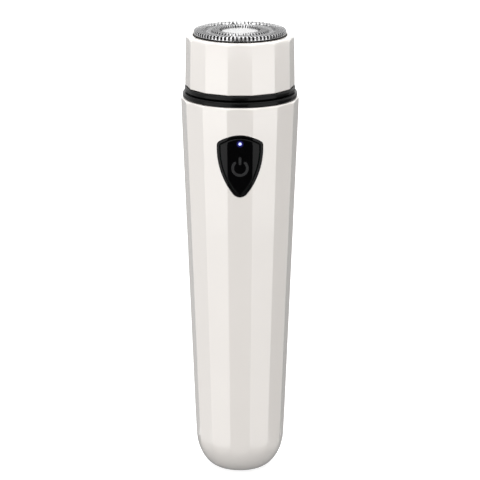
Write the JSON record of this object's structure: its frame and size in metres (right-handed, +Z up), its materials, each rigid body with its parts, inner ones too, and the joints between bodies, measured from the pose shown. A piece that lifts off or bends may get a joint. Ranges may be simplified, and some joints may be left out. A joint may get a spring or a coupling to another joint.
{
  "type": "electric shaver",
  "caption": "Cordless rotary shaver: a tapering faceted handle with a shield-shaped power button, and a pull-off head with a round floating foil over a turning cutter.",
  "frame": {"origin": "centre of the handle's flat foot, where it stands on a surface", "axes": "+Z up along the handle and the drive line, -Y out of the power button's face, +X to the viewer's right when the button faces the viewer"},
  "size_m": [0.037, 0.0362, 0.144],
  "materials": {
    "white_gloss": "gloss",
    "black_gloss": "gloss",
    "black_matte": "satin",
    "steel": "satin",
    "bright_steel": "polished",
    "grey_plastic": "matte",
    "white_nylon": "satin",
    "rubber": "matte",
    "copper": "satin",
    "magnet": "matte",
    "battery_sleeve": "gloss",
    "nickel": "satin",
    "board_green": "satin",
    "lens": "gloss",
    "wire_red": "satin",
    "wire_black": "satin",
    "silicone_white": "matte"
  },
  "bodies": {
    "handle": {"body_shell": "white_gloss", "neck_collar": "black_matte", "neck_o_ring": "rubber", "spindle_seal": "rubber", "chassis": "grey_plastic", "neck_screw_front": "steel", "neck_screw_rear": "steel", "motor_screw_left": "steel", "motor_screw_right": "steel", "board_screw_left": "steel", "board_screw_right": "steel", "motor_can": "steel", "motor_bush": "copper", "motor_end_cap": "white_nylon", "motor_magnet_left": "magnet", "motor_magnet_right": "magnet", "motor_brush_left": "nickel", "motor_brush_right": "nickel", "motor_terminal_left": "nickel", "motor_terminal_right": "nickel", "battery_cell": "battery_sleeve", "battery_tab_negative": "nickel", "battery_tab_positive": "nickel", "control_board": "board_green", "power_switch": "black_matte", "status_led": "lens", "charge_chip": "magnet", "board_capacitor": "grey_plastic", "charge_board": "board_green", "usb_socket": "bright_steel", "usb_tongue": "black_matte", "motor_lead_black": "wire_black", "motor_lead_red": "wire_red", "charge_lead_black": "wire_black", "charge_lead_red": "wire_red", "battery_lead_black": "wire_black", "battery_lead_red": "wire_red", "button_bezel": "black_gloss", "button_gasket": "rubber"},
    "rotor": {"motor_shaft": "bright_steel", "motor_armature": "copper", "motor_commutator": "copper", "spindle_hub": "white_nylon", "spindle_spring": "bright_steel"},
    "spindle": {"drive_spindle": "white_nylon"},
    "button": {"power_button": "black_gloss", "status_lens": "lens"},
    "plunger": {"switch_plunger": "white_nylon"},
    "cover": {"port_cover": "silicone_white"},
    "head": {"head_shell": "white_gloss", "head_base": "black_matte"},
    "retainer": {"blade_retainer": "black_matte"},
    "foil": {"foil_frame": "black_matte", "shaving_foil": "steel", "foil_centre_cap": "bright_steel"},
    "cutter": {"cutter_carrier": "white_nylon", "cutter_blades": "bright_steel"}
  },
  "joints": [
    {"name": "motor_spin", "type": "hinge", "parent": "handle", "child": "rotor", "pos_m": [0, 0, 0.1], "axis": [0, 0, 1], "continuous": true},
    {"name": "spindle_travel", "type": "slide", "parent": "rotor", "child": "spindle", "axis": [0, 0, -1], "range_m": [0, 0.0008], "deforming": ["spindle_spring"]},
    {"name": "power_button_press", "type": "slide", "parent": "handle", "child": "button", "axis": [0, 1, 0], "range_m": [0, 0.0004], "stiffness_N_per_m": 2500, "springref_m": -0.0004},
    {"name": "switch_plunger_travel", "type": "slide", "parent": "handle", "child": "plunger", "axis": [0, 1, 0], "range_m": [0, 0.0004]},
    {"name": "port_cover_hinge", "type": "hinge", "parent": "handle", "child": "cover", "pos_m": [0, 0.01437, 0.0177], "axis": [-1, 0, 0], "range_deg": [0, 100]},
    {"name": "head_lift", "type": "slide", "parent": "handle", "child": "head", "axis": [0, 0, 1], "range_m": [0, 0.03]},
    {"name": "retainer_twist", "type": "hinge", "parent": "head", "child": "retainer", "pos_m": [0, 0, 0.1316], "axis": [0, 0, 1], "range_deg": [0, 25]},
    {"name": "foil_float", "type": "slide", "parent": "head", "child": "foil", "axis": [0, 0, -1], "range_m": [0, 0.0008], "stiffness_N_per_m": 800, "springref_m": -0.001},
    {"name": "cutter_spin", "type": "hinge", "parent": "foil", "child": "cutter", "pos_m": [0, 0, 0.14], "axis": [0, 0, 1], "continuous": true}
  ],
  "couplings": [
    {"joint": "cutter_spin", "follows": "motor_spin", "ratio": 1},
    {"joint": "spindle_travel", "follows": "foil_float", "ratio": 1},
    {"joint": "switch_plunger_travel", "follows": "power_button_press", "ratio": 1}
  ]
}
